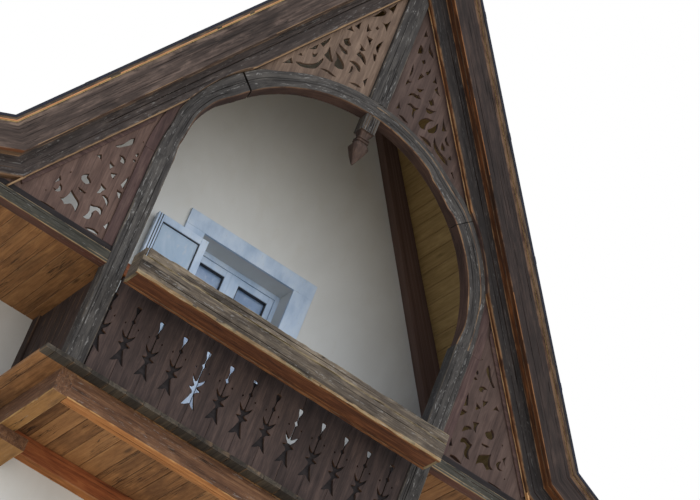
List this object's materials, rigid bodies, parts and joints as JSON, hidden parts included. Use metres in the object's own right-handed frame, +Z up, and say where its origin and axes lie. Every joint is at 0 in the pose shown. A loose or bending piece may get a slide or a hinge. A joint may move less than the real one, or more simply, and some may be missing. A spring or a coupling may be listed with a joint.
{
  "type": "chalet gable with balcony",
  "caption": "Gable end of an alpine chalet: flared roof verge, arched timber screen with fretwork and pendant, boarded balcony, flower box and glazed door.",
  "frame": {"origin": "middle of the lower edge of the flat back face of the gable wall", "axes": "+X to the viewer's right along the wall, +Y into the house, +Z up; the balcony looks towards -Y"},
  "size_m": [6.7, 2.174, 6.2817],
  "materials": {
    "shingles": "weathered shingles",
    "sheet_metal": "dark painted sheet",
    "roof_boards": "oiled boards",
    "rake_timber": "dark weathered timber",
    "screen_timber": "grey weathered timber",
    "fretwork": "stained sawn boards",
    "beam_timber": "stained timber",
    "under_boards": "oiled boards",
    "rail_timber": "red brown stain",
    "rail_boards": "dark stained boards",
    "box_planks": "bare weathered planks",
    "plaster": "painted plaster on brick",
    "white_frames": "white",
    "glass": "clear"
  },
  "bodies": {
    "root": {"roof_covering_left": "shingles", "roof_covering_right": "shingles", "ridge_cap": "sheet_metal", "verge_flashing_left": "sheet_metal", "verge_flashing_right": "sheet_metal", "roof_boards_left": "roof_boards", "roof_boards_right": "roof_boards", "barge_board_left": "rake_timber", "barge_board_right": "rake_timber", "front_rafter_left": "rake_timber", "front_rafter_right": "rake_timber", "wall_rafter_left": "rake_timber", "wall_rafter_right": "rake_timber", "ridge_purlin": "roof_boards", "king_post": "screen_timber", "pendant": "screen_timber", "arch_left": "screen_timber", "arch_right": "screen_timber", "post_left": "screen_timber", "post_right": "screen_timber", "tie_beam_left": "screen_timber", "tie_beam_right": "screen_timber", "fretwork_upper_left": "fretwork", "fretwork_upper_right": "fretwork", "fretwork_lower_left": "fretwork", "fretwork_lower_right": "fretwork", "eave_box_left": "under_boards", "eave_box_right": "under_boards", "floor_beam_front": "beam_timber", "side_beam_left": "beam_timber", "side_beam_right": "beam_timber", "floor_boards": "under_boards", "wall_ledger": "beam_timber", "top_rail": "rail_timber", "balustrade": "rail_boards", "side_panel_left": "rail_boards", "side_panel_right": "rail_boards", "flower_box": "box_planks", "gable_wall": "plaster", "door_frame": "white_frames", "door_glass": "glass", "door_casing": "white_frames", "open_leaf": "white_frames", "open_leaf_glass": "glass"}
  },
  "joints": []
}
